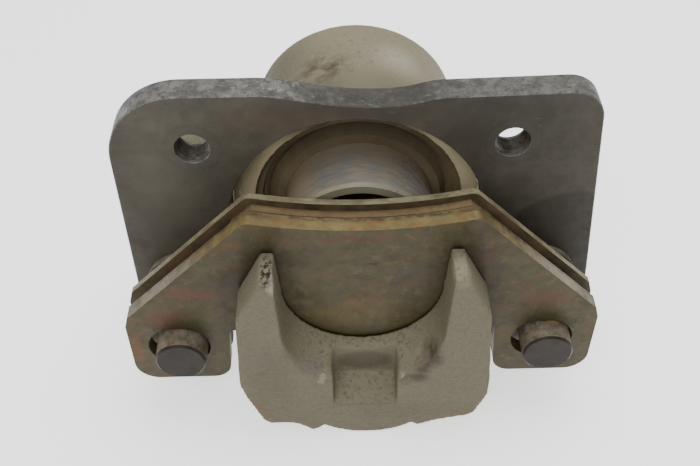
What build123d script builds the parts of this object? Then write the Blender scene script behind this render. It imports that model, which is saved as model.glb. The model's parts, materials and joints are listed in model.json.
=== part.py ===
"""Single-piston sliding brake caliper on its mounting plate, with two pads on guide pins.

Frame: origin midway between the two mounting holes, on the plate's inboard face.
+X runs along the plate, +Y inboard towards the axle, +Z up. Sizes are millimetres.
The body, pins and pads sit a little to the right of the plate's holes and opening, so
they are drawn about the piston axis and moved across as they are written out.
"""

import os

from build123d import *

os.makedirs("parts", exist_ok=True)

# Bore and fits
bore_dia = 57.15
running_gap = 0.05
part_gap = 0.3
axis_drop = 37.0
axis_shift = 2.3

# Mounting plate
hole_pitch = 114.3
thread_dia = 12.7
plate_thick = 11.1
plate_width = 173.6
plate_flare = 8.0
plate_rise = 22.5
plate_depth = 91.0
plate_dip = 5.6
plate_lean = 1.0
body_opening_dia = 97.2
opening_shift = 1.3

# Guide pins
pin_dia = 19.05
pin_pitch = 138.0
pin_shift = 0.7
pin_drop = 32.2
pin_reach = 40.9
collar_dia = 35.0
collar_thick = 3.0
pin_seat_dia = 22.2
shank_dia = 15.875
shank_reach = 36.0
snap_ring_thick = 1.3
snap_recess = 3.2

# Pads
pad_width = 176.4
pad_flat = 79.8
pad_top = 31.5
pad_dip = 4.5
pad_shoulder = -15.6
pad_bottom = -51.4
lug_gap = 99.6
lug_taper = 1.8
relief_top = -31.0
relief_rise = 8.5
slot_length = 23.4
slot_shift = -0.5
inner_thick = 2.7
outer_thick = 6.0
lining_thick = 3.3
claw_to_pad = 0.3
pads_start = 28.5

# Travel
pad_play = 5.8

# Casting
cylinder_dia = 84.4
ring_gap = 0.5
ring_depth = 5.0
ring_taper = 6.0
cylinder_reach = 64.7
bore_depth = 53.0
recess_dia = 80.0
recess_depth = 8.0
bridge_width = 88.0
bridge_top = -36.0
bridge_bottom = -61.2
claw_thick = 16.2
claw_top = 18.4
notch_rise = 0.4
notch_lift = 2.0
scoop_drop = 8.5
pocket_width = 23.6
pocket_depth = 11.2
ear_start = 10.6
ear_thick = 20.0
ear_dia = 30.0
inlet_drop = 15.0
inlet_boss_thick = 3.6
bleed_reach = 46.0
bleed_drop = 14.0
boss_face = 49.0

# Piston
piston_wall = 4.1
piston_length = 50.0
piston_crown = 8.0

# Seals
seal_width = 4.0
seal_depth = 3.6
seal_start = 16.0

# Worked out from the sizes above
axis_z = -axis_drop
pin_z = axis_z - pin_drop
bore_r = bore_dia / 2
piston_r = bore_r - running_gap
pin_left = pin_shift - pin_pitch / 2
pin_right = pin_shift + pin_pitch / 2
plate_front = -plate_thick
pin_front = plate_front - pin_reach
opening_r = body_opening_dia / 2
inner_back = -pads_start
inner_face = inner_back - inner_thick
outer_face = inner_face - 2 * lining_thick - part_gap
outer_front = outer_face - outer_thick
claw_back = outer_front - claw_to_pad
claw_front = claw_back - claw_thick
piston_front = inner_back + pad_play + part_gap
bush_inner_r = shank_dia / 2 + running_gap
bush_outer_r = bush_inner_r + 2.3
seal_groove_r = bore_r + seal_depth
inlet_z = axis_z - inlet_drop
inlet_face = cylinder_reach + inlet_boss_thick
bleed_z = axis_z - bleed_drop

piston_axis = Axis((0, 0, axis_z), (0, 1, 0))
axial_plane = Plane.XY.offset(axis_z)


def upright(y):
    """Plane across the piston axis at y, with local x along X and local y along Z."""
    return Plane.XZ.offset(-y)


def centred(y):
    """Plane across the piston axis at y, with its origin on the axis."""
    return Plane(origin=(0, y, axis_z), x_dir=(1, 0, 0), z_dir=(0, -1, 0))


def near(shape, x, z):
    """Corner of a sketch nearest to a point."""
    return shape.vertices().sort_by_distance((x, z))[0]


def turned(steps, x, z, edge=0.0):
    """Shaft along Y built from (start, end, radius) steps; both ends get the edge chamfer."""
    with BuildPart() as shaft:
        for start, end, radius in steps:
            with BuildSketch(upright(start)):
                with Locations((x, z)):
                    Circle(radius)
            extrude(amount=start - end)
        if edge:
            ends = shaft.faces().filter_by(Axis.Y).sort_by(Axis.Y)
            chamfer(ends[0].edges(), edge)
            chamfer(ends[-1].edges(), edge)
    return shaft.part


def ring(inner, outer, start, end, x, z):
    """Plain ring about an axis along Y."""
    with BuildPart() as loop:
        with BuildSketch(upright(start)):
            with Locations((x, z)):
                Circle(outer)
                Circle(inner, mode=Mode.SUBTRACT)
        extrude(amount=start - end)
    return loop.part


def backing_outline():
    """Pad backing: chamfered shoulders, concave top, arched relief and a slot for each pin."""
    half = pad_width / 2
    flat = pad_flat / 2
    lug = lug_gap / 2
    arch = relief_top + relief_rise
    with BuildSketch() as outline:
        with BuildLine():
            Polyline(
                (-flat, pad_top), (1.4 - half, pad_shoulder), (-half, pad_shoulder - 5),
                (-half, pad_bottom), (-lug - lug_taper, pad_bottom), (-lug, arch),
            )
            ThreePointArc((-lug, arch), (0, relief_top), (lug, arch))
            Polyline(
                (lug, arch), (lug + lug_taper, pad_bottom), (half, pad_bottom),
                (half, pad_shoulder - 5), (half - 1.4, pad_shoulder), (flat, pad_top),
            )
            ThreePointArc((flat, pad_top), (0, pad_top - pad_dip), (-flat, pad_top))
        make_face()
        for side in (-1, 1):
            fillet(near(outline, side * half, pad_bottom), 9)
            fillet(near(outline, side * (lug + lug_taper), pad_bottom), 7)
            fillet(near(outline, side * half, pad_shoulder - 5), 2)
            fillet(near(outline, side * flat, pad_top), 4)
            fillet(near(outline, side * lug, arch), 3)
            with Locations((slot_shift + side * pin_pitch / 2, -pin_drop)):
                SlotOverall(slot_length, pin_dia + 2 * 0.5, mode=Mode.SUBTRACT)
    return outline.sketch


def lining_outline():
    """Friction block, set in from the edges of its backing."""
    shoulder = pad_flat / 2 - 2
    side = lug_gap / 2 - 4
    top = pad_top - 3
    with BuildSketch() as outline:
        with BuildLine():
            Polyline((-shoulder, top), (-side, 21), (-side, -20))
            ThreePointArc((-side, -20), (0, relief_top + 2.5), (side, -20))
            Polyline((side, -20), (side, 21), (shoulder, top))
            ThreePointArc((shoulder, top), (0, top - pad_dip), (-shoulder, top))
        make_face()
    return outline.sketch


def slab(profile, front, back):
    """Flat piece cut from a profile drawn about the piston axis."""
    with BuildPart() as piece:
        with BuildSketch(upright(back)):
            with Locations((0, axis_z)):
                add(profile)
        extrude(amount=back - front)
    return piece.part


# Mounting plate: low dip over the cylinder, open at the bottom for the body
top_half = plate_width / 2
foot_half = top_half + plate_flare
right_top = plate_rise - plate_lean
dip_end_climb = 0.4 * plate_dip - plate_lean
opening_left = opening_shift - opening_r
opening_right = opening_shift + opening_r
with BuildPart() as mounting_plate:
    with BuildSketch(upright(0)) as plate_outline:
        with BuildLine():
            Spline(
                (-34, plate_rise), (-24, plate_rise - 0.2 * plate_dip),
                (-10, plate_rise - 0.7 * plate_dip), (9, plate_rise - plate_dip),
                (21, plate_rise - 0.8 * plate_dip), (33, plate_rise - 0.4 * plate_dip),
                tangents=((1, 0), (top_half - 33, dip_end_climb)),
            )
            Polyline(
                (33, plate_rise - 0.4 * plate_dip), (top_half, right_top), (foot_half, pin_z),
                (foot_half, -plate_depth), (opening_right, -plate_depth), (opening_right, axis_z),
            )
            ThreePointArc(
                (opening_right, axis_z), (opening_shift, axis_z + opening_r), (opening_left, axis_z)
            )
            Polyline(
                (opening_left, axis_z), (opening_left, -plate_depth), (-top_half - 1, -plate_depth),
                (-top_half, plate_rise), (-34, plate_rise),
            )
        make_face()
        fillet(near(plate_outline, -top_half, plate_rise), 27)
        fillet(near(plate_outline, top_half, right_top), 12)
        fillet(near(plate_outline, -top_half - 1, -plate_depth), 9)
        fillet(near(plate_outline, foot_half, -plate_depth), 9)
        for corner in (opening_left, opening_right):
            fillet(near(plate_outline, corner, -plate_depth), 5)
    extrude(amount=plate_thick)
    chamfer(mounting_plate.faces().filter_by(Axis.Y).edges(), 0.4)
    with Locations(Plane(origin=(0, plate_front, 0), x_dir=(1, 0, 0), z_dir=(0, -1, 0))):
        with GridLocations(hole_pitch, 0, 2, 1):
            CounterSinkHole(thread_dia / 2, thread_dia / 2 + 0.2)
        with Locations((axis_shift + pin_left, pin_z), (axis_shift + pin_right, pin_z)):
            Hole(pin_seat_dia / 2)
    with BuildSketch(upright(0)):
        with Locations((axis_shift + pin_left, pin_z), (axis_shift + pin_right, pin_z)):
            Circle(pin_seat_dia / 2 + 2.4)
    extrude(amount=snap_recess, mode=Mode.SUBTRACT)

# Guide pins: collar against the plate's outboard face, seat in the plate, shank behind it
snap_groove = part_gap / 3 - snap_recess
pin_steps = (
    (pin_front, plate_front - collar_thick, pin_dia / 2),
    (plate_front - collar_thick, plate_front, collar_dia / 2),
    (plate_front, snap_groove, pin_seat_dia / 2),
    (snap_groove, snap_groove + snap_ring_thick, pin_seat_dia / 2 - 1.2),
    (snap_groove + snap_ring_thick, -part_gap, pin_seat_dia / 2),
    (-part_gap, shank_reach, shank_dia / 2),
)
guide_pin_left = turned(pin_steps, pin_left, pin_z, edge=0.8)
guide_pin_right = turned(pin_steps, pin_right, pin_z, edge=0.8)

# Snap rings in recesses in the plate's back, open at the top
with BuildPart() as pin_snap_rings:
    with BuildSketch(upright(snap_groove)):
        with Locations((pin_left, pin_z), (pin_right, pin_z)):
            Circle(pin_seat_dia / 2 + 2.0)
            Circle(pin_seat_dia / 2 - 1.2, mode=Mode.SUBTRACT)
        with Locations((pin_left, pin_z + pin_seat_dia / 2), (pin_right, pin_z + pin_seat_dia / 2)):
            Rectangle(6, 8, mode=Mode.SUBTRACT)
    extrude(amount=-snap_ring_thick)

# Pads
inner_backing = slab(backing_outline(), inner_face, inner_back)
inner_lining = slab(lining_outline(), inner_face - lining_thick, inner_face)
outer_lining = slab(lining_outline(), outer_face, outer_face + lining_thick)
outer_backing = slab(backing_outline(), outer_front, outer_face)

# Caliper body: cylinder, bridge, claw and two ears in one casting
tip_outer = 35.2
tip_inner = 30.5
claw_shoulder = 44.6
claw_hip = 46.2
notch_r = bore_r + notch_rise
ring_r = opening_r - ring_gap
cylinder_r = cylinder_dia / 2
half_bridge = bridge_width / 2
with BuildPart() as caliper_body:
    with BuildSketch(centred(ring_depth)):
        Circle(cylinder_r)
    extrude(amount=ring_depth - cylinder_reach)
    fillet(caliper_body.faces().sort_by(Axis.Y)[-1].edges(), 6)

    # Flange that fills the plate's opening, drawn in to the cylinder behind it
    with BuildSketch(centred(0)):
        with Locations((opening_shift - axis_shift, 0)):
            Circle(ring_r)
    extrude(amount=-ring_depth)
    with BuildSketch(centred(ring_depth)):
        with Locations((opening_shift - axis_shift, 0)):
            Circle(ring_r)
    with BuildSketch(centred(ring_depth + ring_taper)):
        Circle(cylinder_r)
    loft()

    # Ears behind the plate, level with the guide pins; the left one stands higher
    with BuildSketch(centred(ear_start)):
        with BuildLine():
            Polyline(
                (-30, 30), (pin_left - 3, 12), (pin_left - 11, 3),
                (pin_left - ear_dia / 2, -pin_drop),
                (pin_left, -pin_drop - ear_dia / 2), (-22, -44), close=True,
            )
        make_face()
        with BuildLine():
            Polyline(
                (30, 30), (pin_right, ear_dia / 2 - pin_drop),
                (pin_right, -pin_drop - ear_dia / 2), (22, -44), close=True,
            )
        make_face()
        with Locations((pin_left, -pin_drop), (pin_right, -pin_drop)):
            Circle(ear_dia / 2)
    extrude(amount=-ear_thick)

    # Bridge under the pads, with a gusset behind it up to the cylinder
    with BuildSketch(centred(claw_back - 1)):
        with BuildLine():
            Polyline(
                (-half_bridge, bridge_top), (-half_bridge, -52), (8 - half_bridge, bridge_bottom),
                (half_bridge - 8, bridge_bottom), (half_bridge, -52), (half_bridge, bridge_top),
                close=True,
            )
        make_face()
    extrude(amount=claw_back - 1 - 12)
    with BuildSketch(Plane.YZ.offset(8 - half_bridge)):
        with BuildLine():
            Polyline(
                (0, axis_z), (0, axis_z + bridge_bottom), (12, axis_z + bridge_bottom),
                (50, axis_z - 36), (50, axis_z), close=True,
            )
        make_face()
    extrude(amount=bridge_width - 16)

    # Claw: two fingers either side of the notch
    with BuildSketch(centred(claw_back)) as claw_outline:
        with BuildLine():
            Polyline(
                (-tip_outer, claw_top), (-claw_shoulder, 0), (-claw_hip, bridge_top),
                (-claw_hip + 1.8, -43.5), (-38.8, -58.9), (-36, bridge_bottom),
                (30, bridge_bottom), (40, -59), (43, -56.8), (claw_hip + 1, -45.5),
                (claw_hip + 1, bridge_top), (claw_shoulder, 0), (tip_outer, claw_top), close=True,
            )
        make_face()
        for side in (-1, 1):
            fillet(near(claw_outline, side * claw_shoulder, 0), 6)
    extrude(amount=claw_thick)

    # Three rough ribs under the claw and bridge
    with BuildSketch(centred(claw_front)):
        with BuildLine():
            Polyline(
                (-29, bridge_bottom + 4), (-29, bridge_bottom), (-25.3, bridge_bottom - 0.8),
                (-20.1, bridge_bottom - 5), (-17.4, bridge_bottom - 4.2),
                (-15.4, bridge_bottom - 1.8),
            )
            ThreePointArc(
                (-15.4, bridge_bottom - 1.8), (-1, bridge_bottom - 7), (19, bridge_bottom - 1.6)
            )
            Polyline(
                (19, bridge_bottom - 1.6), (21.2, bridge_bottom - 3.4),
                (30.4, bridge_bottom + 0.4), (30.4, bridge_bottom + 4), (-29, bridge_bottom + 4),
            )
        make_face()
    extrude(amount=claw_front - 8)

    # Notch: the same U back and front, its round part lower at the front
    for_back = (claw_back + 0.5, notch_lift)
    for_front = (claw_front - 0.5, -scoop_drop)
    for y, low in (for_back, for_front):
        with BuildSketch(centred(y)):
            with BuildLine():
                ThreePointArc((-notch_r, low), (0, low - notch_r), (notch_r, low))
                Polyline(
                    (notch_r, low), (tip_inner, claw_top + 1), (-tip_inner, claw_top + 1),
                    (-notch_r, low),
                )
            make_face()
    loft(mode=Mode.SUBTRACT)

    # Pocket in the claw below the notch, with a sloping floor
    with BuildSketch(Plane.YZ.offset(0.6 - pocket_width / 2)):
        with BuildLine():
            Polyline(
                (claw_front + pocket_depth, axis_z - 20),
                (claw_front + pocket_depth, axis_z - 42.6),
                (claw_front - 1, axis_z - 50.1), (claw_front - 1, axis_z - 20), close=True,
            )
        make_face()
    extrude(amount=pocket_width, mode=Mode.SUBTRACT)

    # Bosses for the hose inlet and the bleed screw
    with BuildSketch(upright(inlet_face)):
        with Locations((0, inlet_z)):
            Circle(11)
    extrude(amount=inlet_boss_thick + 2)
    with BuildSketch(Plane.YZ.offset(boss_face)):
        with Locations((bleed_reach, bleed_z)):
            Circle(8)
    extrude(amount=-15)

    # Bore, dust seal recess, seal groove, ports and bush seats
    with BuildSketch(axial_plane):
        with BuildLine():
            Polyline(
                (0, -1), (recess_dia / 2, -1), (recess_dia / 2, recess_depth),
                (bore_r, recess_depth), (bore_r, seal_start), (seal_groove_r, seal_start),
                (seal_groove_r, seal_start + seal_width), (bore_r, seal_start + seal_width),
                (bore_r, bore_depth - 3), (bore_r - 3, bore_depth), (0, bore_depth), close=True,
            )
        make_face()
    revolve(axis=piston_axis, mode=Mode.SUBTRACT)
    with BuildSketch(upright(bore_depth - 1)):
        with Locations((0, inlet_z)):
            Circle(6)
    extrude(amount=bore_depth - 2 - inlet_face, mode=Mode.SUBTRACT)
    with BuildSketch(Plane.YZ.offset(bore_r - 6)):
        with Locations((bleed_reach, bleed_z)):
            Circle(3.4)
    extrude(amount=boss_face + 7 - bore_r, mode=Mode.SUBTRACT)
    with BuildSketch(upright(ear_start - 1)):
        with Locations((pin_left, pin_z), (pin_right, pin_z)):
            Circle(bush_outer_r)
    extrude(amount=-ear_thick - 2, mode=Mode.SUBTRACT)

# Piston: cup open towards the inner pad
piston_back = piston_front + piston_length
with BuildPart() as piston:
    with BuildSketch(axial_plane):
        with BuildLine():
            Polyline(
                (piston_r - piston_wall, piston_front), (piston_r - 1, piston_front),
                (piston_r, piston_front + 1), (piston_r, piston_back - 1.5),
                (piston_r - 1.5, piston_back), (0, piston_back),
                (0, piston_back - piston_crown), (piston_r - piston_wall - 3, piston_back - piston_crown),
                (piston_r - piston_wall, piston_back - piston_crown - 3), close=True,
            )
        make_face()
    revolve(axis=piston_axis)

# Piston seal: square ring in the bore
piston_seal = ring(bore_r, seal_groove_r, seal_start, seal_start + seal_width, 0, axis_z)

# Dust seal: flange in the recess, one fold, lip on the piston
recess_r = recess_dia / 2
lip_r = bore_r + 0.02
with BuildPart() as dust_seal:
    with BuildSketch(axial_plane):
        with BuildLine():
            Polyline(
                (recess_r, recess_depth), (recess_r, 4.2), (recess_r - 4, 4.2),
                (recess_r - 5.6, 5.6), (lip_r + 3.4, 1.6), (lip_r, 1.0), (lip_r, 3.2),
                (lip_r + 2.2, 3.6), (recess_r - 6.2, recess_depth), close=True,
            )
        make_face()
    revolve(axis=piston_axis)

# Ring that holds the dust seal's flange
dust_seal_ring = ring(recess_r - 2.6, recess_r, 2.6, 4.2, 0, axis_z)

# Bushes and their O-rings in the ears
bush_seal_width = 2.4
bush_start = ear_start + bush_seal_width
bush_end = ear_start + ear_thick - bush_seal_width
guide_bush_left = ring(bush_inner_r, bush_outer_r, bush_start, bush_end, pin_left, pin_z)
guide_bush_right = ring(bush_inner_r, bush_outer_r, bush_start, bush_end, pin_right, pin_z)
with BuildPart() as bush_seals:
    for start in (ear_start, bush_end):
        with BuildSketch(upright(start)):
            with Locations((pin_left, pin_z), (pin_right, pin_z)):
                Circle(bush_outer_r)
                Circle(bush_inner_r, mode=Mode.SUBTRACT)
        extrude(amount=-bush_seal_width)

# Bleed screw: thread in the boss, hexagon and nipple outside it
with BuildPart() as bleed_screw:
    with BuildSketch(Plane.YZ.offset(bore_r + 3.5)):
        with Locations((bleed_reach, bleed_z)):
            Circle(3.4)
    extrude(amount=boss_face - bore_r - 3.5)
    with BuildSketch(Plane.YZ.offset(boss_face)):
        with Locations((bleed_reach, bleed_z)):
            RegularPolygon(5.0, 6, major_radius=False)
    extrude(amount=5)
    with BuildSketch(Plane.YZ.offset(boss_face + 5)):
        with Locations((bleed_reach, bleed_z)):
            Circle(3.0)
    extrude(amount=10)
    chamfer(bleed_screw.faces().sort_by(Axis.X)[-1].edges(), 0.8)

# Rubber cap over the nipple
with BuildPart() as bleed_cap:
    with BuildSketch(Plane.YZ.offset(boss_face + 5.5)):
        with Locations((bleed_reach, bleed_z)):
            Circle(5.0)
    extrude(amount=12.5)
    fillet(bleed_cap.faces().sort_by(Axis.X)[-1].edges(), 2)
    with BuildSketch(Plane.YZ.offset(boss_face + 5.5)):
        with Locations((bleed_reach, bleed_z)):
            Circle(3.0)
    extrude(amount=9.5, mode=Mode.SUBTRACT)

# Hose adapter with its sealing washer
washer_thick = 1.5
inlet_washer = ring(6.0, 9.6, inlet_face, inlet_face + washer_thick, 0, inlet_z)
with BuildPart() as inlet_adapter:
    with BuildSketch(upright(bore_depth + 2)):
        with Locations((0, inlet_z)):
            Circle(6.0)
    extrude(amount=bore_depth + 2 - inlet_face - washer_thick)
    with BuildSketch(upright(inlet_face + washer_thick)):
        with Locations((0, inlet_z)):
            RegularPolygon(8.5, 6, major_radius=False)
    extrude(amount=-11)
    with Locations(Plane(origin=(0, inlet_face + washer_thick + 11, inlet_z), z_dir=(0, 1, 0))):
        Hole(4.76, depth=12)
        Hole(1.6)

mounting_plate.part.label = "mounting_plate"
export_step(mounting_plate.part, "parts/mounting_plate.step")
for node, piece in (
    ("guide_pin_left", guide_pin_left),
    ("guide_pin_right", guide_pin_right),
    ("pin_snap_rings", pin_snap_rings.part),
    ("inner_backing", inner_backing),
    ("inner_lining", inner_lining),
    ("outer_lining", outer_lining),
    ("outer_backing", outer_backing),
    ("caliper_body", caliper_body.part),
    ("piston", piston.part),
    ("piston_seal", piston_seal),
    ("dust_seal", dust_seal.part),
    ("dust_seal_ring", dust_seal_ring),
    ("guide_bush_left", guide_bush_left),
    ("guide_bush_right", guide_bush_right),
    ("bush_seals", bush_seals.part),
    ("bleed_screw", bleed_screw.part),
    ("bleed_cap", bleed_cap.part),
    ("inlet_washer", inlet_washer),
    ("inlet_adapter", inlet_adapter.part),
):
    placed = Pos(axis_shift, 0, 0) * piece
    placed.label = node
    export_step(placed, f"parts/{node}.step")
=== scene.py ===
import bpy, bmesh, json, math, random
import numpy as np
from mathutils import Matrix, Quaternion, Vector, noise


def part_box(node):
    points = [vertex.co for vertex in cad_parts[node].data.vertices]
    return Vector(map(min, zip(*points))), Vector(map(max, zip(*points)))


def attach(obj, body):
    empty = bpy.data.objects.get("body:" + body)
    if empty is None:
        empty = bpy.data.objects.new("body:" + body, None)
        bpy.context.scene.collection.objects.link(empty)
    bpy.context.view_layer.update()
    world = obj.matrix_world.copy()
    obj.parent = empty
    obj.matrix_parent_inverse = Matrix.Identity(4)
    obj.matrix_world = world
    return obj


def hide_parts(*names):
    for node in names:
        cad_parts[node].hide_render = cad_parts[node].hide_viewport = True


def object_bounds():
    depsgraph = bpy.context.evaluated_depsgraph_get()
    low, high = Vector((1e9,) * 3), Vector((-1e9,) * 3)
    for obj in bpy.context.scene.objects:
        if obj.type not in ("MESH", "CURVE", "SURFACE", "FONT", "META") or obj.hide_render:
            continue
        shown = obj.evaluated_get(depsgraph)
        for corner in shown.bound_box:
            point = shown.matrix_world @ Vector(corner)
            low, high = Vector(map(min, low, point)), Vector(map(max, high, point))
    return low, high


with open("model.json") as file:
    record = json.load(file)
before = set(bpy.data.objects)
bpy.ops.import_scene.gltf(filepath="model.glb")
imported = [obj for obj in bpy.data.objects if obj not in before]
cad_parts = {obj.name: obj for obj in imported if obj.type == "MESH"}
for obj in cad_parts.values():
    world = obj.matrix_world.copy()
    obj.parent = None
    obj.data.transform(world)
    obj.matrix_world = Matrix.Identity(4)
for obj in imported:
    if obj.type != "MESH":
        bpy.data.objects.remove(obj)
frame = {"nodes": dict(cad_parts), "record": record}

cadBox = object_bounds()
nodes = frame["nodes"]
mm = 0.001
random.seed(7)


def mount(name):
    # place of a mount in metres
    return Vector(next(m for m in frame["record"]["mounts"] if m["name"] == name)["pos_m"])


def middle(name):
    low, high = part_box(name)
    return (low + high) / 2


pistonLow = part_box("piston")[0]
axisX, axisZ = middle("piston").x, middle("piston").z
pinRight = middle("guide_pin_right")
plateLow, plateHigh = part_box("mounting_plate")
padLow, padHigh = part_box("outer_backing")
bodyLow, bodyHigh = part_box("caliper_body")


def spot(x, y, z):
    # a place given in millimetres from the piston axis and the plate's inboard face
    return Vector((axisX + x * mm, y * mm, axisZ + z * mm))


# camera: standing in front of the claw, looking down on it
camera = {"lens": 47.92, "place": (-5.5, -269.3, 209.15), "pitch": -0.774, "yaw": 0.016,
          "roll": -0.011, "sensor": 36, "nearest": 0.01}
camData = bpy.data.cameras.new("benchCamera")
camData.lens = camera["lens"]
camData.sensor_width = camera["sensor"]
camData.clip_start = camera["nearest"]
camObject = bpy.data.objects.new("benchCamera", camData)
bpy.context.collection.objects.link(camObject)
camObject.location = Vector(camera["place"]) * mm
lookAlong = Vector((math.sin(camera["yaw"]) * math.cos(camera["pitch"]),
                    math.cos(camera["yaw"]) * math.cos(camera["pitch"]),
                    math.sin(camera["pitch"])))
camObject.rotation_mode = "QUATERNION"
camObject.rotation_quaternion = (lookAlong.to_track_quat("-Z", "Y")
                                 @ Quaternion((0, 0, 1), camera["roll"]))
bpy.context.scene.camera = camObject
print("stage: camera")


def hexLinear(code):
    # sRGB hex to the linear colour the shaders want
    parts = [int(code[i:i + 2], 16) / 255 for i in (0, 2, 4)]
    return [c / 12.92 if c <= 0.04045 else ((c + 0.055) / 1.055) ** 2.4 for c in parts] + [1.0]


def addNode(tree, kind, settings=None, links=None):
    # one node, its settings (attributes, or input values by name or number) and its links
    node = tree.nodes.new(kind)
    for key, value in (settings or {}).items():
        if isinstance(key, str) and hasattr(node, key):
            setattr(node, key, value)
    for key, value in (settings or {}).items():
        if not (isinstance(key, str) and hasattr(node, key)):
            node.inputs[key].default_value = value
    for key, source in (links or {}).items():
        tree.links.new(source, node.inputs[key])
    return node


def newMaterial(name):
    # empty material, its tree and its object coordinates
    material = bpy.data.materials.new(name)
    material.use_nodes = True
    tree = material.node_tree
    tree.nodes.clear()
    return material, tree, addNode(tree, "ShaderNodeTexCoord").outputs["Object"]


def ownNormal(tree):
    # the surface's own normal, before any bump
    return addNode(tree, "ShaderNodeTexCoord").outputs["Normal"]


def facesAlongY(tree, low, high):
    # 0..1 mask of what faces the front or the back, and not of the edges between
    split = addNode(tree, "ShaderNodeSeparateXYZ", links={0: ownNormal(tree)})
    turned = addNode(tree, "ShaderNodeMath", {"operation": "ABSOLUTE"}, {0: split.outputs[1]})
    flat = addNode(tree, "ShaderNodeMapRange", {"From Min": low, "From Max": high},
                   {"Value": turned.outputs[0]})
    return flat.outputs[0]


def blotch(tree, where, size, low=0.42, high=0.58, detail=4.0, rough=0.6, stretch=(1, 1, 1),
           seed=0.0, warp=0.0):
    # 0..1 mask of blotches of a real size in millimetres
    scaled = addNode(tree, "ShaderNodeMapping",
                     {"Scale": [s * 1000 / size for s in stretch],
                      "Location": (seed, seed * 1.7, -seed)}, {"Vector": where})
    cloud = addNode(tree, "ShaderNodeTexNoise",
                    {"Scale": 1.0, "Detail": detail, "Roughness": rough, "Distortion": warp},
                    {"Vector": scaled.outputs[0]})
    spread = addNode(tree, "ShaderNodeMapRange", {"From Min": low, "From Max": high},
                     {"Value": cloud.outputs["Fac"]})
    return spread.outputs[0]


def patch(tree, where, centre, reach, edge=0.5, ragged=0.0, size=6.0, seed=0.0):
    # 0..1 mask that is 1 at a place and fades out at its reach along each axis
    source = where
    if ragged:
        scaled = addNode(tree, "ShaderNodeMapping",
                         {"Scale": [1000 / size] * 3, "Location": (seed, -seed, seed * 0.5)},
                         {"Vector": where})
        cloud = addNode(tree, "ShaderNodeTexNoise", {"Scale": 1.0, "Detail": 4.0},
                        {"Vector": scaled.outputs[0]})
        centred = addNode(tree, "ShaderNodeVectorMath",
                          {"operation": "SUBTRACT", 1: (0.5, 0.5, 0.5)},
                          {0: cloud.outputs["Color"]})
        moved = addNode(tree, "ShaderNodeVectorMath",
                        {"operation": "MULTIPLY_ADD", 1: (ragged * mm,) * 3},
                        {0: centred.outputs[0], 2: where})
        source = moved.outputs[0]
    away = addNode(tree, "ShaderNodeVectorMath", {"operation": "SUBTRACT", 1: centre},
                   {0: source})
    shares = addNode(tree, "ShaderNodeVectorMath",
                     {"operation": "MULTIPLY", 1: [1000 / r for r in reach]},
                     {0: away.outputs[0]})
    far = addNode(tree, "ShaderNodeVectorMath", {"operation": "LENGTH"}, {0: shares.outputs[0]})
    fade = addNode(tree, "ShaderNodeMapRange",
                   {"interpolation_type": "SMOOTHSTEP", "From Min": 1.0, "From Max": edge},
                   {"Value": far.outputs["Value"]})
    return fade.outputs[0]


def along(tree, source, axis, start, end):
    # 0..1 ramp of one component of a vector
    split = addNode(tree, "ShaderNodeSeparateXYZ", links={0: source})
    ramp = addNode(tree, "ShaderNodeMapRange",
                   {"interpolation_type": "SMOOTHSTEP", "From Min": start, "From Max": end},
                   {"Value": split.outputs[axis]})
    return ramp.outputs[0]


def times(tree, first, second):
    # product of a mask with a mask or a number
    node = addNode(tree, "ShaderNodeMath", {"operation": "MULTIPLY"}, {0: first})
    if isinstance(second, (int, float)):
        node.inputs[1].default_value = second
    else:
        tree.links.new(second, node.inputs[1])
    return node.outputs[0]


def layer(tree, under, over, amount, how="MIX"):
    # one colour, given as hex or as a socket, laid over another
    node = addNode(tree, "ShaderNodeMix", {"data_type": "RGBA", "blend_type": how})
    for number, source in ((0, amount), (6, under), (7, over)):
        if isinstance(source, str):
            node.inputs[number].default_value = hexLinear(source)
        elif isinstance(source, (int, float)):
            node.inputs[number].default_value = source
        else:
            tree.links.new(source, node.inputs[number])
    return node.outputs[2]


def level(tree, mask, low, high):
    # a mask turned into a plain value between two numbers
    node = addNode(tree, "ShaderNodeMapRange", {"To Min": low, "To Max": high}, {"Value": mask})
    return node.outputs[0]


def relief(tree, height, depth, strength=1.0, under=None):
    # bump of a real depth in millimetres
    links = {"Height": height}
    if under is not None:
        links["Normal"] = under
    return addNode(tree, "ShaderNodeBump", {"Strength": strength, "Distance": depth * mm},
                   links).outputs[0]


def crevice(tree, reach, low, high, alone=False):
    # 0..1 mask of corners and gaps, where dirt gathers and less light comes
    shade = addNode(tree, "ShaderNodeAmbientOcclusion",
                    {"samples": 6, "Distance": reach * mm, "only_local": alone})
    deep = addNode(tree, "ShaderNodeMapRange", {"From Min": high, "From Max": low},
                   {"Value": shade.outputs["AO"]})
    return deep.outputs[0]


def dress(tree, colour, rough, normal=None, metal=0.0, specular=0.5):
    # the finished surface; rough and metal may be numbers or sockets
    shader = addNode(tree, "ShaderNodeBsdfPrincipled", {"Specular IOR Level": specular})
    for name, source in (("Base Color", colour), ("Roughness", rough), ("Metallic", metal),
                         ("Normal", normal)):
        if source is None:
            continue
        if isinstance(source, str):
            shader.inputs[name].default_value = hexLinear(source)
        elif isinstance(source, (int, float)):
            shader.inputs[name].default_value = source
        else:
            tree.links.new(source, shader.inputs[name])
    addNode(tree, "ShaderNodeOutputMaterial", links={"Surface": shader.outputs[0]})


def assign(name, material):
    piece = nodes[name] if isinstance(name, str) else name
    piece.data.materials.clear()
    piece.data.materials.append(material)


def soften(name, width, segments=2, angle=35):
    # small rounded edges on a CAD piece
    worn = nodes[name].modifiers.new("wornEdges", "BEVEL")
    worn.width = width * mm
    worn.segments = segments
    worn.limit_method = "ANGLE"
    worn.angle_limit = math.radians(angle)
    worn.harden_normals = False


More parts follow.
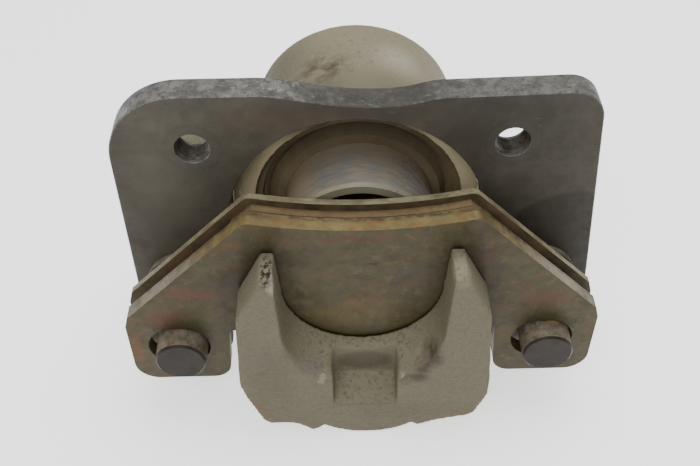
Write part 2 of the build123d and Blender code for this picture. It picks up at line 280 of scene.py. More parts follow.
# Mounting plate
plate = {"face": "3e3a31", "faceLight": "514c41", "faceDark": "2c2922", "red": "4a382a",
         "edge": "6f6c68", "edgeDark": "484846", "edgeWhite": "93928f", "dust": "7d7664",
         "oil": "26231d", "dip": "34322d", "edgeDull": "55524c", "pitted": "3d3a35"}
plateSteel, tree, where = newMaterial("hotRolledPlateSteel")
# dark oily oxide with cloudy stains; the sheared edges are a lighter, colder grey
cloudy = blotch(tree, where, 38, 0.38, 0.62, detail=6, rough=0.62, seed=3)
fine = blotch(tree, where, 7, 0.35, 0.65, detail=5, seed=11)
rolled = blotch(tree, where, 9, 0.35, 0.7, detail=3, stretch=(0.12, 1, 1), seed=5)
face = layer(tree, plate["face"], plate["faceLight"], times(tree, cloudy, 0.75))
face = layer(tree, face, plate["faceDark"], times(tree, fine, 0.4))
face = layer(tree, face, plate["faceLight"], times(tree, rolled, 0.22))
face = layer(tree, face, plate["faceDark"],
             times(tree, patch(tree, where, spot(52, -11, 46), (44, 30, 26), 0.2, 14, 18, 2), 0.7))
face = layer(tree, face, plate["red"],
             times(tree, patch(tree, where, spot(-22, -11, 50), (34, 20, 9), 0.1, 12, 14, 4), 0.45))
face = layer(tree, face, plate["faceLight"],
             times(tree, patch(tree, where, spot(-72, -11, 14), (22, 20, 44), 0.2, 12, 16, 6), 0.5))
for centre, reach, share, seed in ((spot(-2, -11, 54), (44, 20, 9), 0.6, 31),
                                   (spot(74, -11, 26), (26, 20, 30), 0.3, 32)):
    face = layer(tree, face, plate["faceDark"],
                 times(tree, patch(tree, where, centre, reach, 0.2, 12, 14, seed), share))
oilMark = patch(tree, where, spot(84, -11, -16), (34, 20, 30), 0.9, 8, 22, 33)
face = layer(tree, face, plate["oil"], times(tree, oilMark, 0.6))
flecks = blotch(tree, where, 1.3, 0.66, 0.72, detail=2, seed=8)
sparse = blotch(tree, where, 30, 0.5, 0.62, seed=9)
face = layer(tree, face, plate["dust"], times(tree, times(tree, flecks, sparse), 0.35))
scuffs = blotch(tree, where, 2.2, 0.68, 0.74, detail=2, stretch=(0.3, 1, 1.6), seed=21)
face = layer(tree, face, plate["edge"], times(tree, scuffs, 0.1))
for side in (mount("hole_left"), mount("hole_right")):
    ringOut = patch(tree, where, (side.x, side.y, side.z), (11.4, 60, 11.4), 0.9, 1.2, 8, 1)
    ringIn = patch(tree, where, (side.x, side.y, side.z), (10.2, 60, 10.2), 0.88, 1.2, 8, 2)
    face = layer(tree, face, plate["faceDark"], times(tree, ringOut, 0.16))
    face = layer(tree, face, plate["faceLight"], times(tree, ringIn, 0.12))
mottle = blotch(tree, where, 5, 0.4, 0.6, detail=7, rough=0.7, seed=13)
edge = layer(tree, plate["edge"], plate["edgeDark"], times(tree, mottle, 0.9))
whitened = blotch(tree, where, 3.2, 0.55, 0.62, detail=6, rough=0.72, seed=15)
edge = layer(tree, edge, plate["edgeWhite"],
             times(tree, times(tree, whitened, patch(tree, where, spot(-16, -5, 57),
                                                     (48, 30, 20), 0.3, 8, 8, 3)), 0.6))
dip = patch(tree, where, spot(6, -5, 54), (50, 30, 10), 0.25, 8, 8, 5)
edge = layer(tree, edge, plate["dip"], times(tree, dip, 0.8))
rightEnd = along(tree, where, 0, axisX + 30 * mm, axisX + 60 * mm)
edge = layer(tree, edge, plate["edgeDull"], times(tree, rightEnd, 0.3))
pitted = blotch(tree, where, 1.8, 0.53, 0.62, detail=5, rough=0.7, seed=17)
edge = layer(tree, edge, plate["pitted"], times(tree, pitted, 0.75))
nicked = blotch(tree, where, 1.6, 0.56, 0.68, detail=5, stretch=(0.4, 1, 1), seed=18, warp=0.5)
edge = layer(tree, edge, plate["edgeWhite"], times(tree, nicked, 0.22))
colour = layer(tree, edge, face, facesAlongY(tree, 0.75, 0.93))
bumps = relief(tree, fine, 0.05, 0.5)
bumps = relief(tree, blotch(tree, where, 1.1, 0.2, 0.8, detail=3, seed=19), 0.05, 0.6, bumps)
dress(tree, colour, level(tree, mottle, 0.45, 0.62), bumps, specular=0.2)
assign("mounting_plate", plateSteel)
soften("mounting_plate", 0.35, 2, 50)


thread = {"pitch": 1.27, "wall": 6.32, "crest": 5.5, "front": 0.7, "back": 0.5, "steps": 48,
          "runOut": 20, "leastRise": 0.05, "footHalf": 0.49, "crestHalf": 0.07,
          "steel": "473f33", "dirt": "1d1a15"}


def threadRidge(name, centre, wallR, crestR, pitch, start, end):
    # helical ridge inside a hole: each turn rises from the wall to a crest and back
    mesh = bmesh.new()
    steps = thread["steps"]
    turns = (end - start) / pitch - 1
    count = int(turns * steps)
    rows = []
    for i in range(count + 1):
        angle = 2 * math.pi * i / steps
        y = start + pitch * (0.5 + i / steps)
        grow = min(1, i / thread["runOut"], (count - i) / thread["runOut"])
        crest = wallR - (wallR - crestR) * max(grow, thread["leastRise"])
        row = []
        for radius, offset in ((wallR, -thread["footHalf"]), (crest, -thread["crestHalf"]),
                               (crest, thread["crestHalf"]), (wallR, thread["footHalf"])):
            row.append(mesh.verts.new((centre.x + radius * math.cos(angle), y + pitch * offset,
                                       centre.z + radius * math.sin(angle))))
        rows.append(row)
    for a, b in zip(rows, rows[1:]):
        for k in range(4):
            mesh.faces.new((a[k], b[k], b[(k + 1) % 4], a[(k + 1) % 4]))
    mesh.faces.new(rows[0])
    mesh.faces.new(list(reversed(rows[-1])))
    bmesh.ops.recalc_face_normals(mesh, faces=mesh.faces)
    data = bpy.data.meshes.new(name)
    mesh.to_mesh(data)
    mesh.free()
    ridge = bpy.data.objects.new(name, data)
    bpy.context.collection.objects.link(ridge)
    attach(ridge, "carrier")
    return ridge


threadSteel, tree, where = newMaterial("cutThreadSteel")
# cut steel darkened with oil, so the turns read as fine bright and dark lines
oily = blotch(tree, where, 2.5, 0.4, 0.62, detail=4, seed=2)
dress(tree, layer(tree, thread["steel"], thread["dirt"], times(tree, oily, 0.7)),
      level(tree, oily, 0.35, 0.55), metal=0.3)
for name, hole in (("threadLeft", mount("hole_left")), ("threadRight", mount("hole_right"))):
    ridge = threadRidge(name, hole, thread["wall"] * mm, thread["crest"] * mm,
                        thread["pitch"] * mm, plateLow.y + thread["front"] * mm,
                        plateHigh.y - thread["back"] * mm)
    assign(ridge, threadSteel)
print("stage: plate and threads")

# Caliper body: the CAD shape re-skinned as a rough casting
casting = {"voxel": 0.85, "grain": 0.16, "inset": 0.1, "margin": 0.02, "calmTurns": 2,
           "rubTurns": 22, "fineGrain": 1100, "coarseGrain": 420, "coarseShare": 0.6,
           "turnedRadius": 40.6, "turnedFrom": -2, "turnedTo": 54, "turnedFacing": 0.98}
notch = {"radius": 29, "centre": -8.5, "reach": 5, "share": 1.6, "depth": 9, "top": -14,
         "halfWidth": 36, "pocketHalf": 13.5, "pocketTop": -34}
pits = {"count": 46, "acrossX": (-44, 44), "acrossZ": (-58, 8), "size": (0.7, 1.5),
        "deep": (0.15, 0.4)}


def baked(piece):
    # the mesh that the modifiers make, put in the piece without them
    bpy.context.view_layer.update()
    graph = bpy.context.evaluated_depsgraph_get()
    made = bpy.data.meshes.new_from_object(piece.evaluated_get(graph))
    piece.modifiers.clear()
    piece.data = made
    return made


def vectors(mesh, kind):
    # one row of three for each vertex
    flat = np.empty(len(mesh.vertices) * 3)
    mesh.vertices.foreach_get(kind, flat)
    return flat.reshape(-1, 3)


source = nodes["caliper_body"]
castMesh = bpy.data.meshes.new_from_object(source)
cast = bpy.data.objects.new("castBody", castMesh)
bpy.context.collection.objects.link(cast)
skin = cast.modifiers.new("sandSkin", "REMESH")
skin.mode = "VOXEL"
skin.voxel_size = casting["voxel"] * mm
skin.use_smooth_shade = True
calm = cast.modifiers.new("softEdges", "SMOOTH")
calm.factor = 0.5
calm.iterations = casting["calmTurns"]
shaped = baked(cast)
# the notch's front rim is rubbed round, up to the pocket but not in it
rim = cast.vertex_groups.new(name="rubbedRim")
for vertex in shaped.vertices:
    x, y, z = ((vertex.co - Vector((axisX, 0, axisZ))) / mm)[:]
    inFront = y < bodyLow.y / mm + notch["depth"]
    inNotch = z < notch["top"] and abs(x) < notch["halfWidth"]
    offPocket = abs(x) > notch["pocketHalf"] or z > notch["pocketTop"]
    if inFront and inNotch and offPocket:
        fromRim = abs(math.hypot(x, z - notch["centre"]) - notch["radius"])
        share = max(0.0, min(1.0, notch["share"] - fromRim / notch["reach"]))
        rim.add([vertex.index], share, "REPLACE")
rub = cast.modifiers.new("rubbedRim", "SMOOTH")
rub.factor = 0.5
rub.iterations = casting["rubTurns"]
rub.vertex_group = rim.name
shaped = baked(cast)
cast.vertex_groups.clear()
points = vectors(shaped, "co")
normals = vectors(shaped, "normal")
rough = np.array([noise.noise(Vector(p) * casting["fineGrain"])
                  + casting["coarseShare"] * noise.noise(Vector(p) * casting["coarseGrain"])
                  for p in points])
local = (points - np.array([axisX, 0, axisZ])) / mm
radial = np.hypot(local[:, 0], local[:, 2])
# the bored and turned surfaces stay smooth
turnedSkin = ((radial < casting["turnedRadius"]) & (local[:, 1] > casting["turnedFrom"])
              & (local[:, 1] < casting["turnedTo"])
              & (np.abs(normals[:, 1]) < casting["turnedFacing"]))
depth = -casting["inset"] + casting["grain"] * (rough - 0.5) * 0.5
depth[turnedSkin] = -casting["inset"]


def dent(centre, reach, deep, seed, raggedness=0.35):
    # pushes the skin in around one place, with an uneven outline
    offset = (local - np.array(centre)) / np.array(reach)
    near = np.where(np.linalg.norm(offset, axis=1) < 1.6)[0]
    for i in near:
        wander = noise.noise(Vector(local[i]) * 0.45 + Vector((seed, 0, 0))) * raggedness
        share = np.linalg.norm(offset[i]) + wander
        if share < 1:
            depth[i] -= deep * (1 - share * share) ** 1.5


frontY = bodyLow.y / mm
dents = (
    ((24.0, frontY + 2, -24.5), (5.5, 7, 6.0), 1.2, 1.0),
    ((19.0, frontY, -33.5), (6.0, 5, 3.2), 1.3, 5.0),
    ((15.0, frontY, -35.5), (3.0, 5, 2.5), 0.8, 3.0),
    ((-33.0, frontY + 7, 18.0), (1.3, 2.2, 2), 1.1, 7.0),
    ((-33.6, frontY + 3, 18.0), (1.2, 1.8, 2), 1.2, 8.0),
    ((-31.8, frontY + 5, 18.0), (0.9, 2.4, 2), 1.0, 9.0),
    ((-32.6, frontY + 11, 18.0), (1.0, 1.4, 2), 0.9, 2.0),
    ((-31.6, frontY + 0.5, 17), (1.2, 1.5, 2), 1.0, 4.0),
    ((-16.0, frontY, -33.0), (4.0, 5, 5.0), 0.5, 6.0),
    ((4.0, frontY + 2, -31), (3.0, 3, 2.0), 0.5, 2.5),
)
for centre, reach, deep, seed in dents:
    dent(centre, reach, deep, seed)
for i in range(pits["count"]):
    x, z = random.uniform(*pits["acrossX"]), random.uniform(*pits["acrossZ"])
    size = random.uniform(*pits["size"])
    dent((x, frontY, z), (size, 3, size), random.uniform(*pits["deep"]), i * 1.3, 0.2)
points = points + normals * (depth * mm)[:, None]
lowest, highest = np.array(bodyLow), np.array(bodyHigh)
points = np.clip(points, lowest + casting["margin"] * mm, highest - casting["margin"] * mm)
shaped.vertices.foreach_set("co", points.ravel())
shaped.update()
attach(cast, "caliper")
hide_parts("caliper_body")

iron = {"skin": "5c5745", "light": "706a56", "dark": "433d2f", "brown": "34291c",
        "dome": "847d67", "tan": "cfc19c", "green": "434e3e", "violet": "55505e", "bright": "a29b89",
        "soot": "2c271f", "pit": "211d17", "rust": "604631", "paintedSheen": "aea898", "dust": "86806a",
        "oil": "3f3824", "hollowTop": "4a4233", "hollowLow": "7d7056"}
castIron, tree, where = newMaterial("sandCastDuctileIron")
# warm grey-olive casting with a sandy grain, oil stains and bright patches, which beside the pocket are
# painted highlights
broad = blotch(tree, where, 26, 0.38, 0.62, detail=5, seed=4)
sandy = blotch(tree, where, 1.3, 0.34, 0.66, detail=5, rough=0.7, seed=6)
grit = blotch(tree, where, 0.65, 0.54, 0.7, detail=3, seed=7)
pores = blotch(tree, where, 1.4, 0.68, 0.74, detail=3, seed=12)
colour = layer(tree, iron["skin"], iron["light"], times(tree, broad, 0.45))
colour = layer(tree, colour, iron["dark"], times(tree, sandy, 0.5))
colour = layer(tree, colour, iron["bright"], times(tree, grit, 0.3))
colour = layer(tree, colour, iron["pit"], times(tree, pores, 0.55))
streaks = blotch(tree, where, 5, 0.5, 0.7, detail=3, stretch=(0.07, 1, 1), seed=31)
colour = layer(tree, colour, iron["light"], times(tree, streaks, 0.25))
rear = along(tree, where, 1, -6 * mm, 0)
colour = layer(tree, colour, iron["dome"], times(tree, rear, 0.8))
stain = patch(tree, where, spot(-15, 32, 40), (19, 18, 18), 0.2, 14, 10, 3)
crusted = blotch(tree, where, 5, 0.36, 0.6, detail=6, seed=14)
colour = layer(tree, colour, iron["brown"], times(tree, times(tree, stain, crusted), 0.8))
# painted shade: the dome is darker where it comes down to the plate and on its left side
colour = layer(tree, colour, iron["skin"], times(tree, along(tree, where, 1, 38 * mm, 18 * mm), 0.6))
shaded = patch(tree, where, spot(-34, 46, 24), (30, 34, 32), 0.2)
colour = layer(tree, colour, iron["skin"], times(tree, shaded, 0.95))
# painted highlight on the dome's right side
paintedSheen = patch(tree, where, spot(17, 40, 38), (16, 15, 14), 0.0)
colour = layer(tree, colour, iron["paintedSheen"], times(tree, paintedSheen, 0.45))
soot = patch(tree, where, spot(4, 44, 42), (30, 22, 10), 0.2, 10, 8, 8)
flaked = blotch(tree, where, 2.4, 0.56, 0.68, detail=5, seed=16)
colour = layer(tree, colour, iron["dark"], times(tree, times(tree, soot, flaked), 0.5))
cheeks = times(tree, along(tree, where, 1, -8 * mm, -4 * mm), along(tree, where, 1, 7 * mm, 3 * mm))
sides = along(tree, where, 2, axisZ + 40 * mm, axisZ + 27 * mm)
colour = layer(tree, colour, iron["brown"], times(tree, cheeks, 0.9))
colour = layer(tree, colour, iron["tan"], times(tree, times(tree, cheeks, sides), 0.95))
for tone, centre, reach, share, seed in (
        ("green", spot(-15.5, -54.5, -28), (4, 5, 3), 0.6, 1),
        ("violet", spot(-18.5, -57.5, -28), (7, 6, 7), 0.4, 2),
        ("green", spot(-40, -60, -20), (16, 8, 22), 0.15, 5),
        ("brown", spot(24.8, -58, -22.5), (6.5, 7, 8), 0.85, 6),
        ("brown", spot(21.5, -60, -30), (4.5, 5, 6.5), 0.8, 7),
        ("soot", spot(18.5, -60.6, -34), (6.5, 5, 3), 0.5, 16),
        ("rust", spot(-42, -58, -52), (9, 8, 9), 0.55, 8),
        ("light", spot(0, -50, -31), (30, 9, 8), 0.4, 9),
        # painted highlights on the scoop's facets beside the pocket
        ("bright", spot(13.2, -60.6, -32.5), (2.6, 4, 3), 0.6, 10),
        ("bright", spot(-15.2, -60.6, -32.5), (2.4, 4, 5), 0.4, 11),
        ("bright", spot(-30.5, -59, 17), (2.5, 5, 5), 0.7, 12),
        ("dome", spot(33, -55, 17), (5, 9, 5), 0.7, 13),
        ("dark", spot(-34, -60, -32), (15, 8, 26), 0.3, 17),
        ("rust", spot(36, -58, -55), (12, 8, 6), 0.3, 14),
        ("dark", spot(10, -60, -54), (26, 8, 8), 0.25, 15)):
    mask = patch(tree, where, centre, reach, 0.25, 5, 4, seed)
    colour = layer(tree, colour, iron[tone], times(tree, mask, share))
# painted shadow on the pocket's back wall, under the lip of the scoop
colour = layer(tree, colour, iron["soot"],
               times(tree, patch(tree, where, spot(0.6, -49, -36.5), (13, 1.8, 6.5), 0.6, 1, 3, 3), 0.5))
# painted shade with some dirt: darker in corners and gaps
colour = layer(tree, colour, iron["soot"], times(tree, crevice(tree, 5, 0.3, 0.7, True), 0.35))
# painted light and shade: the recess round the piston is painted lighter lower down and darker at the
# top
hollow = patch(tree, where, spot(0, 4, 0), (41.5, 14, 41.5), 0.97)
flank = along(tree, where, 2, axisZ + 32 * mm, axisZ + 10 * mm)
recess = layer(tree, iron["hollowTop"], iron["hollowLow"], flank)
colour = layer(tree, colour, recess, times(tree, hollow, 0.95))
# dust lies on what faces up; what faces out is darker
facing = ownNormal(tree)
lifted = along(tree, facing, 2, 0.25, 0.85)
fore = along(tree, where, 1, -30 * mm, -40 * mm)
colour = layer(tree, colour, iron["dust"], times(tree, times(tree, lifted, fore), 0.35))
sooty = blotch(tree, where, 1.5, 0.52, 0.64, detail=5, rough=0.7, seed=19)
topSoot = times(tree, sooty, times(tree, lifted, fore))
colour = layer(tree, colour, iron["dark"], times(tree, topSoot, 0.7))
facingOut = times(tree, along(tree, facing, 1, -0.6, -0.95), fore)
colour = layer(tree, colour, iron["oil"], times(tree, facingOut, 0.2))
holes = patch(tree, where, spot(-32.8, -54, 18.5), (2.8, 9, 4), 0.5, 3, 2, 3)
blown = blotch(tree, where, 2.2, 0.48, 0.54, detail=4, seed=18)
colour = layer(tree, colour, iron["pit"], times(tree, holes, blown))
bumps = relief(tree, sandy, 0.12, 0.9)
bumps = relief(tree, grit, 0.05, 0.6, bumps)
sunken = addNode(tree, "ShaderNodeMath", {"operation": "SUBTRACT", 0: 1.0}, {1: pores})
bumps = relief(tree, sunken.outputs[0], 0.15, 0.8, bumps)
dress(tree, colour, level(tree, sandy, 0.55, 0.72), bumps, specular=0.3)
assign(cast, castIron)
print("stage: casting", len(shaped.vertices))

# Pads: zinc-plated backings with a worn yellow passivation
zinc = {"yellow": "5a4d22", "orange": "6b3f1a", "red": "50291d",
        "green": "343b27", "violet": "3a3033", "edge": "554a31", "edgeLight": "6f6541", "dirt": "231e15",
        "contact": "211c14", "brushed": "4d472e", "shade": "2b2518", "moss": "5a5434",
        "edgeRubbed": "76683f", "edgeRear": "3c3222",
        "drift": ((0.0, "393021"), (0.3, "3d3623"), (0.48, "403926"), (0.62, "393720"),
                  (0.8, "423623"), (1.0, "3e3323"))}
padZinc, tree, where = newMaterial("yellowZincBackingSteel")
# thin yellow chromate film gone patchy: olive, orange, red and violet clouds under oil
hue = blotch(tree, where, 14, 0.3, 0.7, detail=6, rough=0.6, seed=2, warp=0.6)
drift = addNode(tree, "ShaderNodeValToRGB", links={0: hue})
stops = drift.color_ramp.elements
for stop, (position, code) in zip((stops[0], stops[1]), (zinc["drift"][0], zinc["drift"][-1])):
    stop.position = position
    stop.color = hexLinear(code)
for position, code in zinc["drift"][1:-1]:
    stops.new(position).color = hexLinear(code)
colour = drift.outputs[0]
cloudA = blotch(tree, where, 9, 0.52, 0.68, detail=6, seed=21)
cloudB = blotch(tree, where, 10, 0.52, 0.72, detail=6, stretch=(0.5, 1, 1), seed=22)
cloudC = blotch(tree, where, 11, 0.54, 0.7, detail=6, seed=23)
colour = layer(tree, colour, zinc["green"], times(tree, cloudA, 0.25))
colour = layer(tree, colour, zinc["orange"], times(tree, cloudB, 0.2))
colour = layer(tree, colour, zinc["violet"], times(tree, cloudC, 0.15))
brushed = blotch(tree, where, 3.5, 0.45, 0.7, detail=4, stretch=(0.16, 1, 1), seed=24)
colour = layer(tree, colour, zinc["brushed"], times(tree, brushed, 0.2))
shadeCloud = blotch(tree, where, 5, 0.48, 0.66, detail=6, rough=0.65, seed=45)
mossCloud = blotch(tree, where, 4, 0.54, 0.68, detail=6, rough=0.65, seed=46)
colour = layer(tree, colour, zinc["shade"], times(tree, shadeCloud, 0.45))
colour = layer(tree, colour, zinc["moss"], times(tree, mossCloud, 0.35))
for tone, centre, reach, share, seed in (
        ("red", spot(-3, -44, 23.2), (36, 6, 2.0), 0.5, 1),
        ("red", spot(-62, -44, -3), (26, 6, 5), 0.55, 2),
        ("red", spot(-72, -44, -16), (12, 6, 9), 0.55, 9),
        ("orange", spot(-86, -44, -33), (5, 8, 16), 0.4, 3),
        ("orange", spot(-46, -44, 21), (9, 6, 5), 0.35, 14),
        ("dirt", spot(-28, -44, 14), (16, 6, 7), 0.4, 15),
        ("orange", spot(-4, -44, -9), (6, 6, 5), 0.3, 4),
        ("yellow", spot(-6, -44, -16), (26, 6, 9), 0.35, 5),
        ("green", spot(-62, -44, -20), (16, 6, 8), 0.4, 6),
        ("red", spot(66, -44, -10), (16, 6, 9), 0.4, 7),
        ("red", spot(44, -44, 12), (5, 6, 16), 0.35, 8),
        ("dirt", spot(-48, -44, 2), (16, 6, 8), 0.4, 10),
        ("yellow", spot(52, -44, -30), (10, 6, 8), 0.35, 11),
        ("violet", spot(18, -44, 4), (20, 6, 10), 0.3, 12)):
    mask = patch(tree, where, centre, reach, 0.0, 9, 6, seed)
    colour = layer(tree, colour, zinc[tone], times(tree, mask, share))
scratches = blotch(tree, where, 2.4, 0.6, 0.66, detail=3, stretch=(0.25, 1, 1.4), seed=25)
worked = patch(tree, where, spot(2, -44, 8), (34, 8, 14), 0.1, 8, 8, 13)
colour = layer(tree, colour, zinc["dirt"], times(tree, times(tree, scratches, worked), 0.7))
specks = blotch(tree, where, 2.6, 0.68, 0.74, detail=3, seed=26)
colour = layer(tree, colour, zinc["dirt"], times(tree, specks, 0.5))
# dark band of dirt where the claw's fingers bear on the backing
for side in (-1, 1):
    finger = patch(tree, where, spot(side * 41, -44, -8), (14, 8, 40), 0.55, 4, 6, 20 + side)
    colour = layer(tree, colour, zinc["contact"], times(tree, finger, 0.3))
edgeTone = blotch(tree, where, 6, 0.4, 0.62, detail=5, seed=27)
edge = layer(tree, zinc["edge"], zinc["edgeLight"], edgeTone)
rubbed = patch(tree, where, spot(0, -42, 29), (44, 12, 9), 0.5, 10, 10, 28)
edge = layer(tree, edge, zinc["edgeRubbed"], times(tree, rubbed, 0.45))
rustCloud = blotch(tree, where, 8, 0.5, 0.62, detail=5, seed=28)
rustHere = times(tree, rustCloud, level(tree, rubbed, 0.35, 1.0))
edge = layer(tree, edge, zinc["orange"], times(tree, rustHere, 0.45))
redCloud = blotch(tree, where, 5, 0.6, 0.68, detail=5, seed=29)
edge = layer(tree, edge, zinc["red"], times(tree, redCloud, 0.3))
torn = blotch(tree, where, 3, 0.4, 0.6, detail=5, seed=30)
rearEdge = along(tree, where, 1, padLow.y + 3.4 * mm, padHigh.y - 0.8 * mm)
edge = layer(tree, edge, zinc["edgeRear"], times(tree, rearEdge, level(tree, torn, 0.25, 0.95)))
colour = layer(tree, edge, colour, facesAlongY(tree, 0.7, 0.95))
# painted shade with some dirt: darker in corners and gaps
colour = layer(tree, colour, zinc["contact"], times(tree, crevice(tree, 7, 0.35, 0.75), 0.45))
bumps = relief(tree, torn, 0.08, 0.5)
bumps = relief(tree, scratches, 0.03, 0.5, bumps)
dress(tree, colour, level(tree, cloudA, 0.4, 0.58), bumps, metal=0.2, specular=0.22)
assign("outer_backing", padZinc)
soften("outer_backing", 0.7, 3)

backing = {"face": "5e523c", "edge": "665e49", "light": "80775d", "dark": "3f3929", "rust": "614430"}
padSteel, tree, where = newMaterial("dulledZincBackingSteel")
# the hidden pad's plating is greyer and shows mostly as a pale stamped edge
cloud = blotch(tree, where, 10, 0.4, 0.62, detail=5, seed=33)
streak = blotch(tree, where, 2.2, 0.45, 0.68, detail=4, stretch=(0.3, 1, 1), seed=34)
face = layer(tree, backing["face"], backing["dark"], cloud)
face = layer(tree, face, backing["rust"], times(tree, blotch(tree, where, 16, 0.5, 0.66, seed=35), 0.5))
edge = layer(tree, backing["edge"], backing["light"], cloud)
edge = layer(tree, edge, backing["dark"], times(tree, streak, 0.6))
dress(tree, layer(tree, edge, face, facesAlongY(tree, 0.7, 0.95)), level(tree, cloud, 0.42, 0.6),
      relief(tree, streak, 0.05, 0.5), metal=0.2, specular=0.25)
assign("inner_backing", padSteel)
soften("inner_backing", 0.5, 3)

lining = {"base": "5a4b34", "dust": "6e5d40", "metal": "877450", "dark": "3a3022"}
friction, tree, where = newMaterial("mouldedFrictionLining")
# brown moulded block with brassy chips and dust
dusty = blotch(tree, where, 8, 0.4, 0.62, detail=5, seed=36)
chips = blotch(tree, where, 1.3, 0.64, 0.7, detail=2, seed=37)
colour = layer(tree, lining["base"], lining["dust"], times(tree, dusty, 0.6))
colour = layer(tree, colour, lining["metal"], times(tree, chips, 0.35))
charred = blotch(tree, where, 2, 0.6, 0.68, seed=38)
colour = layer(tree, colour, lining["dark"], times(tree, charred, 0.6))
dress(tree, colour, 0.8, relief(tree, chips, 0.08, 0.6), specular=0.25)
for name in ("inner_lining", "outer_lining"):
    assign(name, friction)
    soften(name, 0.4, 2)
print("stage: pads")

# Guide pins
pin = {"side": "625a4c", "light": "8b8272", "end": "26221d", "rust": "8a5f3c", "highlightTone": "ad8854",
       "dark": "2f2b26", "endLight": "2f2b27"}
pinSteel, tree, where = newMaterial("phosphatedPinSteel")
# dark phosphate worn to grey on the sides, flat and darker on the sawn end
worn = blotch(tree, where, 4, 0.4, 0.6, detail=6, rough=0.65, seed=41)
spots = blotch(tree, where, 1.2, 0.62, 0.68, detail=3, seed=42)
rusty = blotch(tree, where, 3, 0.58, 0.68, detail=5, seed=43)
side = layer(tree, pin["side"], pin["light"], times(tree, worn, 0.7))
side = layer(tree, side, pin["rust"], times(tree, rusty, 0.6))
side = layer(tree, side, pin["dark"], times(tree, spots, 0.8))
# painted highlight on the top of the right pin
paintedGleamAt = (pinRight.x + 2 * mm, pinRight.y - 33 * mm, pinRight.z + 9 * mm)
paintedGleam = patch(tree, where, paintedGleamAt, (5, 5, 5), 0.3, 3, 3, 4)
side = layer(tree, side, pin["highlightTone"], times(tree, paintedGleam, 0.85))
endCloud = blotch(tree, where, 9, 0.4, 0.6, seed=44)
end = layer(tree, pin["end"], pin["endLight"], times(tree, endCloud, 0.5))
dress(tree, layer(tree, side, end, facesAlongY(tree, 0.45, 0.7)), level(tree, worn, 0.35, 0.5),
      relief(tree, spots, 0.04, 0.5), metal=0.15, specular=0.15)
for name in ("guide_pin_left", "guide_pin_right"):
    assign(name, pinSteel)
    soften(name, 0.3, 2)

# Piston
ground = {"steel": "8b8474", "blue": "767c82", "tan": "a79371", "rust": "835c40", "dark": "3f3a35",
          "pale": "aaa392", "dusted": "8b7a62", "mouth": "7f785c", "cavity": "857c66"}
pistonSteel, tree, where = newMaterial("groundPistonSteel")
# ground steel scored round the bore, bluish, with rust freckles at the right
round1 = blotch(tree, where, 3.2, 0.42, 0.62, detail=5, stretch=(0.35, 1.6, 0.35), seed=51, warp=0.4)
round2 = blotch(tree, where, 1.2, 0.5, 0.66, detail=4, stretch=(0.2, 2, 0.2), seed=52)
broad = blotch(tree, where, 9, 0.42, 0.58, detail=4, seed=53)
colour = layer(tree, ground["steel"], ground["blue"], times(tree, broad, 0.7))
colour = layer(tree, colour, ground["dark"], times(tree, round1, 0.3))
colour = layer(tree, colour, ground["pale"], times(tree, round2, 0.35))
leftSide = along(tree, where, 0, axisX - 14 * mm, axisX - 25 * mm)
colour = layer(tree, colour, ground["tan"], times(tree, leftSide, 0.75))
dusted = along(tree, where, 1, -13 * mm, -2 * mm)
colour = layer(tree, colour, ground["dusted"], times(tree, dusted, 0.6))
mouth = along(tree, where, 1, pistonLow.y + 2.2 * mm, pistonLow.y + 0.8 * mm)
colour = layer(tree, colour, ground["mouth"], times(tree, mouth, 0.6))
freckle = blotch(tree, where, 1.8, 0.58, 0.64, detail=4, seed=54)
rightSide = along(tree, where, 0, axisX + 4 * mm, axisX + 20 * mm)
colour = layer(tree, colour, ground["rust"], times(tree, times(tree, freckle, rightSide), 0.9))
colour = layer(tree, colour, ground["dark"],
               times(tree, times(tree, blotch(tree, where, 1.1, 0.6, 0.66, seed=55), rightSide), 0.8))
# painted light: the inside of the piston is painted lighter, since little light reaches it
cavity = patch(tree, where, middle("piston"), (24.6, 80, 24.6), 0.985)
colour = layer(tree, colour, ground["cavity"], times(tree, cavity, 0.9))
bare = addNode(tree, "ShaderNodeMath", {"operation": "MAXIMUM"}, {0: cavity, 1: mouth})
dress(tree, colour, level(tree, round1, 0.4, 0.58), relief(tree, round2, 0.03, 0.5),
      metal=level(tree, bare.outputs[0], 0.35, 0.0), specular=0.3)
assign("piston", pistonSteel)
soften("piston", 0.3, 2)

# Dust seal and the other rubber parts
rubber = {"base": "574d3a", "dust": "7a6e55", "dark": "40382b", "low": "7d7056"}
sealRubber, tree, where = newMaterial("dustySealRubber")
# brown-black rubber under a film of brake dust
film = blotch(tree, where, 12, 0.38, 0.64, detail=5, seed=61)
colour = layer(tree, rubber["base"], rubber["dust"], times(tree, film, 0.25))
colour = layer(tree, colour, rubber["dark"], times(tree, blotch(tree, where, 5, 0.5, 0.7, seed=62), 0.4))
# painted light: the seal is lighter lower down, where the recess is in shadow; darker towards the top
crown = along(tree, where, 2, axisZ + 12 * mm, axisZ + 36 * mm)
lower = along(tree, where, 2, axisZ + 30 * mm, axisZ + 6 * mm)
colour = layer(tree, colour, rubber["low"], times(tree, lower, 0.5))
colour = layer(tree, colour, rubber["dark"], times(tree, crown, 0.45))
dress(tree, colour, 0.75, relief(tree, film, 0.05, 0.4), specular=0.2)
for name in ("dust_seal", "piston_seal", "bush_seals", "bleed_cap"):
    assign(name, sealRubber)

wire = {"oil": "352e26", "worn": "4a4138"}
springWire, tree, where = newMaterial("oiledSpringSteel")
# nearly black oiled ring
shade = blotch(tree, where, 6, 0.4, 0.6, seed=63)
dress(tree, layer(tree, wire["oil"], wire["worn"], shade), level(tree, shade, 0.4, 0.6), metal=0.3)
assign("pin_snap_rings", springWire)

bush = {"gold": "8f7345", "pore": "5e4a2e"}
bronze, tree, where = newMaterial("sinteredBushBronze")
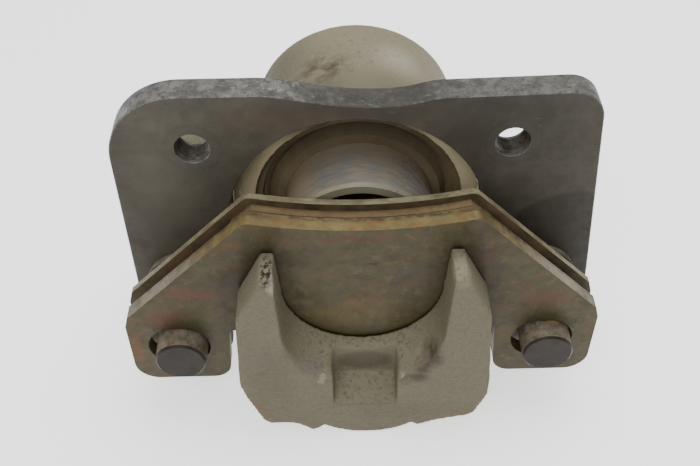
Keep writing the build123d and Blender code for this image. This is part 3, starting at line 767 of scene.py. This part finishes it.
# porous brown-gold bearing metal
porous = blotch(tree, where, 1.5, 0.45, 0.65, detail=4, seed=64)
dress(tree, layer(tree, bush["gold"], bush["pore"], porous), level(tree, porous, 0.4, 0.6),
      relief(tree, porous, 0.05, 0.5), metal=0.7)
for name in ("guide_bush_left", "guide_bush_right"):
    assign(name, bronze)

plated = {"pale": "a19b84", "dull": "7a7465"}
fitting, tree, where = newMaterial("satinZincFitting")
# pale plated steel with greyed patches
dull = blotch(tree, where, 5, 0.4, 0.62, detail=5, seed=65)
dress(tree, layer(tree, plated["pale"], plated["dull"], times(tree, dull, 0.8)),
      level(tree, dull, 0.3, 0.5), relief(tree, dull, 0.03, 0.4), metal=0.8)
for name in ("bleed_screw", "inlet_adapter"):
    assign(name, fitting)
    soften(name, 0.25, 2)

washer = {"bright": "a5684a", "oxide": "6d4634"}
copper, tree, where = newMaterial("annealedCopperWasher")
# soft red-brown washer with darker oxide
oxide = blotch(tree, where, 4, 0.4, 0.62, detail=4, seed=66)
dress(tree, layer(tree, washer["bright"], washer["oxide"], oxide), level(tree, oxide, 0.3, 0.5),
      metal=0.9)
assign("inlet_washer", copper)

retainer, tree, where = newMaterial("dustedRetainerSteel")
# thin steel ring under the same brown dust as the seal it holds
powder = blotch(tree, where, 9, 0.4, 0.62, detail=5, seed=67)
# painted light: the ring is lighter lower down, as on the seal
lower = along(tree, where, 2, axisZ + 30 * mm, axisZ + 6 * mm)
colour = layer(tree, rubber["base"], rubber["dust"], times(tree, powder, 0.3))
colour = layer(tree, colour, rubber["low"], times(tree, lower, 0.7))
dress(tree, colour, level(tree, powder, 0.6, 0.75), relief(tree, powder, 0.03, 0.4), metal=0.1,
      specular=0.2)
assign("dust_seal_ring", retainer)
print("stage: pins, piston and small parts")

# Studio: pale back-lit floor, wide softbox overhead, weak fill in front
studio = {"reach": 6, "gap": 0.5, "sheet": "f4f4f4", "glow": "ffffff", "glowStrength": 1.1,
          "worldStrength": 0.55, "aim": (0, 0, -0.05)}
reach = studio["reach"]
floorZ = cadBox[0].z - studio["gap"] * mm
floorMesh = bpy.data.meshes.new("studioFloor")
floorMesh.from_pydata([(-reach, -reach, floorZ), (reach, -reach, floorZ), (reach, reach, floorZ),
                       (-reach, reach, floorZ)], [], [(0, 1, 2, 3)])
floorObject = bpy.data.objects.new("studioFloor", floorMesh)
bpy.context.collection.objects.link(floorObject)
paleFloor, tree, where = newMaterial("backLitAcrylicFloor")
# milky sheet lit from below, so hardly any shadow falls on it
sheet = addNode(tree, "ShaderNodeBsdfPrincipled",
                {"Base Color": hexLinear(studio["sheet"]), "Roughness": 0.9,
                 "Emission Strength": studio["glowStrength"],
                 "Emission Color": hexLinear(studio["glow"]), "Specular IOR Level": 0.1})
addNode(tree, "ShaderNodeOutputMaterial", links={"Surface": sheet.outputs[0]})
floorObject.data.materials.append(paleFloor)

world = bpy.data.worlds.new("studioWorld")
bpy.context.scene.world = world
world.use_nodes = True
background = world.node_tree.nodes["Background"]
background.inputs[0].default_value = (1, 1, 1, 1)
background.inputs[1].default_value = studio["worldStrength"]


def softLight(name, place, aim, size, power):
    # square area light looking at one place
    data = bpy.data.lights.new(name, "AREA")
    data.shape = "SQUARE"
    data.size = size
    data.energy = power
    light = bpy.data.objects.new(name, data)
    bpy.context.collection.objects.link(light)
    light.location = place
    light.rotation_mode = "QUATERNION"
    light.rotation_quaternion = (Vector(aim) - Vector(place)).to_track_quat("-Z", "Y")


softLight("overheadSoftbox", (0.12, 0.22, 0.9), studio["aim"], 0.8, 9)
softLight("frontFill", (-0.25, -0.75, 0.75), studio["aim"], 0.6, 6)
print("stage: studio")
